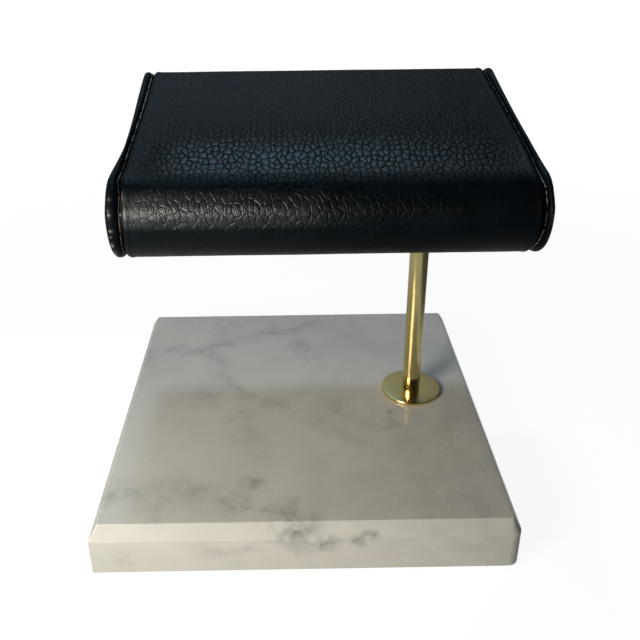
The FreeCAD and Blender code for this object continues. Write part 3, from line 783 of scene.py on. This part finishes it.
def make_cover(material):
    """The padded leather cover, one closed skin turned in at both ends, with its lap seam underneath."""
    outline = section_outline(NOSE_PITCH)
    run, starts, count = outline["run"], outline["starts"], len(outline["run"])
    skin = cover_skin()
    inside = cover_inside()
    stations = np.array(skin)[:, 0]
    along = stations[:, None] + 0 * run
    around = run + 0 * along
    proud = 0.06 * undulation(along, around, 14.0, 2.2) + 0.03 * undulation(along, around, 5.0, 6.1)
    free = step(COVER_HALF - GROOVE_WIDTH - np.abs(stations), 0.0, 2.5)[:, None]
    proud = proud * free

    proud = proud + swelling(outline, skin) * free

    from_lap = np.minimum(run, starts["end"] - run)
    proud = proud - 0.45 * (1 - step(from_lap, 0.2, 1.1)) * free - GRAIN_RISE * 0.6 * free
    under = outline["out_up"] < -0.99
    proud = np.where(under, np.minimum(proud, 0.0), proud)

    whole = np.vstack([rings(outline, skin, proud), rings(outline, inside)])
    from_face = [(CUSHION_HALF - abs(station), inset) for station, inset in skin + inside]
    places = np.array(skin + inside)[:, 0]
    at_left, at_right = (end_pull(outline, side, from_face) for side in (-1, 1))
    whole[:, :, 0] += np.where(places[:, None] > 0, at_right, at_left)
    faces = ring_faces(len(places), count, joined=True)
    cover = mesh_piece("leather_cover", whole.reshape(-1, 3), faces, material)

    unrolled = np.zeros((len(places), count, 3))
    unrolled[:, :, 0] = places[:, None]
    unrolled[:, :, 1] = unrolled_run(outline)
    outward = np.zeros((len(places), count, 3))
    outward[:len(skin), :, 1] = outline["out_across"]
    outward[:len(skin), :, 2] = outline["out_up"]
    grain = grain_strength(outline, places)
    grain[:len(skin)] *= free
    grain[len(skin):] = 0
    grain[:, under] = 0
    carry(cover, "unrolled", unrolled.reshape(-1, 3) * MM)
    carry(cover, "outward", outward.reshape(-1, 3))
    carry(cover, "grain", grain.ravel())
    carry(cover, "rubbed", rubbed_share(outline, places).ravel())
    domed = 0.3 + 0.7 * step(run, starts["top"] - 4, starts["top"] + 3)
    carry(cover, "domed", np.tile(domed, len(places)))
    grow(cover, grain_tree(material), {"Rise": GRAIN_RISE})
    return cover


# End panels

FIELD_RISE = 0.15


def make_end_panel(name, side, material):
    """A leather end piece: a lip round its edge, pale in front from wear and from a painted highlight that is
    stronger at the left end, and a slightly domed field.
    """
    outline = section_outline({"nose_lower": 0.8, "nose": 0.6, "nose_upper": 0.7, "top": 1.1, "back_upper": 0.8,
                               "back": 1.3, "back_lower": 1.1, "other": 1.6})
    profile = [(PANEL_RECESS, RIM_WIDTH), (PANEL_RECESS - 0.25, RIM_WIDTH - 0.15), (0.15, RIM_WIDTH - 0.55)]
    for turned in np.linspace(0, math.pi / 2, 8):
        profile.append((LIP_RADIUS - LIP_RADIUS * math.cos(turned),
                        LIP_INSET + LIP_RADIUS - LIP_RADIUS * math.sin(turned)))
    profile += [(1.65, LIP_INSET + 0.12), (2.05, LIP_INSET + 0.42), (PANEL_THICKNESS, LIP_INSET + 0.85)]
    mouth = GROOVE_DEPTH + TURNED_EDGE + 0.1
    plug = PANEL_THICKNESS + GROOVE_WIDTH + LEATHER
    profile += [(PANEL_THICKNESS, mouth), (plug, mouth)]
    placed = [(side * (CUSHION_HALF - depth), inset) for depth, inset in profile]
    ring_points = rings(outline, placed)
    ring_points[:, :, 0] += end_pull(outline, side, profile)

    run, starts, count = outline["run"], outline["starts"], len(outline["run"])
    field = []
    first = ring_points[0]
    centre = first.mean(axis=0)
    centre[0] = side * np.abs(first[:, 0]).min()
    radius = np.linalg.norm((first - centre)[:, 1:], axis=1)
    for share in (0.12, 0.35, 0.55, 0.68, 0.78, 0.86, 0.92, 0.97):
        ring = centre + (first - centre) * share
        inwards = step((1 - share) * radius, 0.0, 6.0)
        ring[:, 0] = first[:, 0] * (1 - inwards) + (centre[0] + side * FIELD_RISE) * inwards
        field.append(ring)
    last = ring_points[-1]
    back_centre = last.mean(axis=0)
    stack = np.vstack([np.array(field), ring_points])
    points = np.vstack([stack.reshape(-1, 3), [centre + np.array([side * FIELD_RISE, 0, 0])], [back_centre]])
    faces = ring_faces(len(stack), count)
    front_index = len(stack) * count
    for j in range(count):
        k = (j + 1) % count
        faces.append((front_index, k, j))
        base = (len(stack) - 1) * count
        faces.append((front_index + 1, base + j, base + k))
    if side > 0:
        faces = [face[::-1] for face in faces]
    piece = mesh_piece(name, points, faces, material)

    # The pale mark on the lip's front is partly wear of the cut edge and partly painted highlight, full at the
    # left end and a quarter at the right.
    lip = np.array([np.exp(-((depth - 0.8) / 0.22) ** 2) * (inset < 0.6) for depth, inset in profile])
    in_front = step(run, starts["nose_lower"] + 6, starts["nose_lower"] + 12)
    in_front = in_front * (1 - step(run, starts["nose_upper"] + 3, starts["nose_upper"] + 8))
    patches = np.array([noise.noise(Vector((place / 3.0, side * 5.0, 0.4))) for place in run])
    worn_and_glinting = in_front * step(patches, -0.25, 0.25) * (1.0 if side < 0 else 0.25)
    wear_and_glint = np.vstack([np.zeros((len(field), count)), lip[:, None] * worn_and_glinting]).ravel()
    carry(piece, "wear_and_glint", np.append(wear_and_glint, [0.0, 0.0]))
    carry(piece, "unrolled", points[:, [1, 2, 0]] * np.array([1, 1, 0]) * MM)
    carry(piece, "grain", np.full(len(points), 0.35))
    rubbed = np.zeros(len(points))
    rubbed[:len(field) * count] = 0.3 if side > 0 else 0.0
    carry(piece, "rubbed", rubbed)
    return piece


# Stitches, one row in each groove

STITCH_PITCH = 5.2
STITCH_LENGTH = 4.3
THREAD_DIAMETER = 0.42


def stitch_tree(material):
    """Geometry nodes that lay short lengths of thread, thin at their ends, along the edges of a mesh."""
    tree, add, given = new_growth("stitches", "Seam", ["Pitch", "Length", "Thread"])
    seam = add("GeometryNodeMeshToCurve", [given["Seam"]])
    places = add("GeometryNodeCurveToPoints", {"Curve": seam, "Length": given["Pitch"]}, mode="LENGTH").outputs
    behind, ahead = (add("CombineXYZ", {"Z": add("Math", (given["Length"], share), operation="MULTIPLY")})
                     for share in (-0.5, 0.5))
    core = add("GeometryNodeCurvePrimitiveLine", {"Start": behind, "End": ahead})
    core = add("GeometryNodeResampleCurve", {"Curve": core, "Count": 8})
    bulge = add("FloatCurve", {"Value": add("GeometryNodeSplineParameter")})
    curve = bulge.mapping.curves[0]
    curve.points[0].location = (0.0, 0.35)
    curve.points[1].location = (1.0, 0.35)
    curve.points.new(0.2, 0.95)
    curve.points.new(0.8, 0.95)
    bulge.mapping.update()
    thin = add("GeometryNodeSetCurveRadius", {"Curve": core, "Radius": bulge})
    radius = add("Math", (given["Thread"], 0.5), operation="MULTIPLY")
    ring = add("GeometryNodeCurvePrimitiveCircle", {"Resolution": 8, "Radius": radius})
    stitch = add("GeometryNodeCurveToMesh", {"Curve": thin, "Profile Curve": ring, "Fill Caps": True})
    laid = add("GeometryNodeInstanceOnPoints", {
        "Points": places["Points"], "Instance": add("GeometryNodeSetShadeSmooth", [stitch]),
        "Rotation": places["Rotation"]})
    return end_growth(tree, add, laid, material)


def make_stitches(name, side, material):
    """A row of stitches all round the groove beside an end panel."""
    outline = section_outline({"other": 1.0})
    station = side * (COVER_HALF - GROOVE_WIDTH * 0.42)
    points = rings(outline, [(station, GROOVE_DEPTH - 0.2)])
    points[:, :, 0] += end_pull(outline, side, [(CUSHION_HALF - abs(station), GROOVE_DEPTH - 0.2)])
    count = len(outline["run"])
    seam = [(j, (j + 1) % count) for j in range(count)]
    piece = mesh_piece(name, points.reshape(-1, 3), [], material, seam)
    grow(piece, stitch_tree(material),
         {"Pitch": STITCH_PITCH, "Length": STITCH_LENGTH, "Thread": THREAD_DIAMETER})
    return piece


# Turned brass: the post and its discs

SHARP_ANGLE = 35.0


def turned_piece(name, corners, centre, material, segments=96):
    """A closed ring-shaped solid, turned from a half section of radius and height pairs."""
    points = []
    for k in range(segments):
        angle = 2 * math.pi * k / segments
        for radius, height in corners:
            points.append((centre.x + radius * math.cos(angle), centre.y + radius * math.sin(angle), height))
    count = len(corners)
    faces = []
    for k in range(segments):
        a = k * count
        b = ((k + 1) % segments) * count
        for j in range(count):
            i = (j + 1) % count
            faces.append((a + j, b + j, b + i, a + i))
    piece = mesh_piece(name, points, faces, material)
    piece.data.set_sharp_from_angle(angle=math.radians(SHARP_ANGLE))
    return piece


def rounded_corner(radius_at, height_at, size, first, steps=5):
    """Points of a quarter round, from a direction in degrees, turning against the clock."""
    points = []
    for k in range(steps + 1):
        angle = math.radians(first + 90 * k / steps)
        points.append((radius_at + size * math.cos(angle), height_at + size * math.sin(angle)))
    return points


BOLT_HOLE = 4.5
DISC_EDGE = 0.28
DISC_LIFT = 0.02


def make_disc(name, node, material):
    """A brass disc in the place of a node, slightly dished underneath."""
    low, high = box_mm(node)
    radius = (high.x - low.x) / 2
    bore = BOLT_HOLE / 2
    corners = [(bore, low.z + DISC_LIFT)]
    corners += rounded_corner(radius - DISC_EDGE, low.z + DISC_EDGE, DISC_EDGE, -90)
    corners += rounded_corner(radius - DISC_EDGE, high.z - DISC_EDGE, DISC_EDGE, 0)
    corners += [(radius * 0.6, high.z), (bore, high.z)]
    return turned_piece(name, corners, (low + high) / 2, material)


THREAD_BORE = 4.1
POST_EDGE = 0.15


def make_post(name, material):
    """The brass rod, bored for the screw and the stud."""
    radius = (POST_HIGH.x - POST_LOW.x) / 2
    bore = THREAD_BORE / 2
    low, high = POST_LOW.z, POST_HIGH.z
    corners = [(bore, low)]
    corners += rounded_corner(radius - POST_EDGE, low + POST_EDGE, POST_EDGE, -90, 3)
    corners += [(radius, low + (high - low) * k / 12) for k in range(1, 12)]
    corners += rounded_corner(radius - POST_EDGE, high - POST_EDGE, POST_EDGE, 0, 3)
    corners += [(bore, high)]
    return turned_piece(name, corners, POST_MIDDLE, material)


# Camera, floor and lights

CAMERA_PLACE = (-3.6, -216.0, 170.7)
CAMERA_YAW = 0.41
CAMERA_DOWN = 25.30
CAMERA_ROLL = -0.65
FOCAL_PIXELS = 761.0
IMAGE_PIXELS = 640
OPTICAL_CENTRE = (294.0, 259.5)
SENSOR = 36.0


def make_camera():
    """The picture's viewpoint: almost straight from the front, looking down at the stand."""
    yaw, down, roll = (math.radians(a) for a in (CAMERA_YAW, CAMERA_DOWN, CAMERA_ROLL))
    ahead = Vector((math.sin(yaw) * math.cos(down), math.cos(yaw) * math.cos(down), -math.sin(down)))
    level = Vector((math.cos(yaw), -math.sin(yaw), 0))
    above = level.cross(ahead)
    right = math.cos(roll) * level + math.sin(roll) * above
    up = -math.sin(roll) * level + math.cos(roll) * above
    data = bpy.data.cameras.new("camera")
    data.sensor_width = SENSOR
    data.sensor_fit = "HORIZONTAL"
    data.lens = FOCAL_PIXELS / IMAGE_PIXELS * SENSOR
    data.shift_x = (IMAGE_PIXELS / 2 - OPTICAL_CENTRE[0]) / IMAGE_PIXELS
    data.shift_y = (OPTICAL_CENTRE[1] - IMAGE_PIXELS / 2) / IMAGE_PIXELS
    data.clip_start = 0.01
    camera = add_object("camera", data)
    turn = Matrix((right, up, -ahead)).transposed().to_4x4()
    camera.matrix_world = Matrix.Translation(Vector(CAMERA_PLACE) * MM) @ turn
    bpy.context.scene.camera = camera


def seen_directly(add):
    """1 for rays that show the background: from the camera, off a gloss or through glass."""
    path = add("LightPath").outputs
    either = add("Math", (path["Is Camera Ray"], path["Is Glossy Ray"]), operation="MAXIMUM")
    return add("Math", (either, path["Is Transmission Ray"]), operation="MAXIMUM")


FLOOR_GLOW = 1.28
NEAR_SHARE = 0.72
FAR_SHARE = 0.82
MIRRORED_SHARE = 0.9
MIRRORED_GLOW = 0.42
MIRRORED_RIGHT = 0.06
FLOOR_REACH = 3000.0


def make_floor():
    """A pale table top that keeps the stand's shadow and fades into the background."""
    material, add, place = new_material("matt_white_floor")
    away = add("VectorMath", [place], operation="LENGTH")
    fading = add("MapRange", (away, 120 * MM, 600 * MM, NEAR_SHARE, FAR_SHARE), **SMOOTH)
    across = add("SeparateXYZ", [place]).outputs["X"]
    mirrored = add("MapRange", (across, 92 * MM, 140 * MM, MIRRORED_GLOW, MIRRORED_RIGHT), **SMOOTH)
    in_gloss = add("LightPath").outputs["Is Glossy Ray"]
    shown = add("Mix", {0: in_gloss, 2: fading, 3: MIRRORED_SHARE})
    strength = add("Mix", {0: in_gloss, 2: FLOOR_GLOW, 3: mirrored})
    share = add("Math", (shown, seen_directly(add)), operation="MULTIPLY")
    glow = add("Emission", ["#FFFFFF", strength])
    add("OutputMaterial", [add("MixShader", (share, add("BsdfDiffuse", ["#C6C6C3"]), glow))])
    corners = [(x * FLOOR_REACH, y * FLOOR_REACH, 0) for x, y in ((-1, -1), (1, -1), (1, 1), (-1, 1))]
    floor = mesh_piece("floor", corners, [(0, 1, 2, 3)], material)
    floor.location.z = -0.05 * MM


WORLD_LIGHT = 0.11
HORIZON = 0.95
ABOVE_HORIZON = 0.21
HIGHER_UP = 1.7
CEILING_LIGHT = 0.10
RIGHT_SIDE = 0.32
FRONT_SIDE = 0.05
HIGH_WINDOW = (-0.04, 0.52, 0.85)
HIGH_WINDOW_REACH = 14.0
HIGH_WINDOW_LIGHT = 8.0


def make_world():
    """White behind the stand, a high window and a dim ceiling in its reflections, and a soft even light."""
    world = bpy.data.worlds.new("pale_studio")
    bpy.context.scene.world = world
    world.use_nodes = True
    world.node_tree.nodes.clear()
    add = partial(add_node, world.node_tree)
    path = add("LightPath").outputs
    outlook = add("TexCoord").outputs["Generated"]
    direction = add("SeparateXYZ", [outlook]).outputs
    mirrored = add("MapRange", (direction["Z"], -0.05, 0.10, HORIZON, ABOVE_HORIZON), **SMOOTH)
    sideways = add("MapRange", (direction["X"], -0.2, 0.7, 1.0, RIGHT_SIDE), **SMOOTH)
    for share in (add("MapRange", (direction["Z"], 0.28, 0.5, 1.0, HIGHER_UP), **SMOOTH),
                  add("MapRange", (direction["Z"], 0.58, 0.78, 1.0, CEILING_LIGHT), **SMOOTH),
                  sideways,
                  add("MapRange", (direction["Y"], -0.6, 0.2, FRONT_SIDE, 1.0), **SMOOTH)):
        mirrored = add("Math", (mirrored, share), operation="MULTIPLY")
    towards = add("VectorMath", (outlook, Vector(HIGH_WINDOW).normalized()), operation="DOT_PRODUCT")
    edge = math.cos(math.radians(HIGH_WINDOW_REACH))
    window = add("MapRange", (towards, edge, 1.0, 0.0, HIGH_WINDOW_LIGHT), **SMOOTH)
    mirrored = add("Math", (mirrored, window), operation="ADD")
    strength = add("Math", (mirrored, path["Is Camera Ray"]), operation="MAXIMUM")
    dim = add("Background", ["#EEF1F4", add("Math", (sideways, WORLD_LIGHT), operation="MULTIPLY")])
    high = add("MapRange", (direction["Z"], 0.6, 0.8), **SMOOTH)
    cooler = add("Math", (high, path["Is Glossy Ray"]), operation="MULTIPLY")
    white = add("Background", [laid_over(add, "#FFFFFF", [(cooler, "#B4E2FF")]), strength])
    add("OutputWorld", [add("MixShader", (seen_directly(add), dim, white))])


def add_lamp(name, place, target, size, power, colour, lights=True, mirrored=True):
    """A square lamp that lights the stand, shows in its gloss, or both."""
    data = bpy.data.lights.new(name, "AREA")
    data.shape = "SQUARE"
    data.size = size
    data.energy = power
    data.color = linear(colour)[:3]
    lamp = add_object(name, data)
    lamp.location = place
    lamp.visible_diffuse = lights
    lamp.visible_glossy = mirrored
    lamp.rotation_euler = (Vector(target) - Vector(place)).to_track_quat("-Z", "Y").to_euler()


bpy.context.scene.view_settings.view_transform = "Standard"
make_camera()
make_world()
make_floor()
add_lamp("window_left", (-0.175, -0.222, 0.152), (0.0, -0.03, 0.03), 0.12, 0.76, "#FFF9F1", mirrored=False)
add_lamp("window_in_reflections", (-0.19, -0.25, 0.155), (-0.03, -0.04, 0.08), 0.15, 1.8, "#FFE6D2",
         lights=False)
add_lamp("skylight_behind", (-0.045, 0.27, 0.62), (0.0, 0.0, 0.03), 0.05, 0.80, "#C8E2FF", mirrored=False)

# Materials for the pieces that keep the frame's own solids

steel = zinc_steel()
board = grey_board()
KEPT = {
    "marble_base": polished_marble(),
    "base_pad": wool_felt(),
    "base_screw": steel,
    "base_washer": steel,
    "post_stud": steel,
    "threaded_insert": polished_brass("bright_turned_brass", "#C9B15E", 0.25),
    "core_block": planed_wood(),
    "padding": grey_foam(),
    "left_end_board": board,
    "right_end_board": board,
}
for node, material in KEPT.items():
    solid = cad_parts[node]
    if not solid.material_slots:
        solid.data.materials.append(material)
    for slot in solid.material_slots:
        slot.link = "OBJECT"
        slot.material = material

# Pieces that stand for the frame's plain ones

brass = polished_brass("polished_brass", "#DACD92", 0.18)
panel_leather = black_leather("black_leather_with_pale_glinting_edge", edge_wear_and_glint=True)
# The pale thread is painted highlight: on the top at the left end and on the nose at the right end.
left_thread = waxed_thread("left_polyester_thread", on_nose=0.15, on_top=1.0)
right_thread = waxed_thread("right_polyester_thread", on_nose=1.0, on_top=0.10)
cover = make_cover(black_leather("tumbled_black_leather"))
STANDS_FOR = [
    (cover, "leather_wrap", "leather"),
    (make_end_panel("left_end_leather", -1, panel_leather), "left_end_panel", "leather"),
    (make_end_panel("right_end_leather", 1, panel_leather), "right_end_panel", "leather"),
    (make_stitches("left_stitches", -1, left_thread), None, "leather"),
    (make_stitches("right_stitches", 1, right_thread), None, "leather"),
    (make_post("brass_post", brass), "post", "brass"),
    (make_disc("foot_disc", "base_flange", brass), "base_flange", "brass"),
    (make_disc("head_disc", "top_flange", brass), "top_flange", "brass"),
]
for piece, node, finish in STANDS_FOR:
    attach(piece, "root")
    if node:
        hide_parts(node)
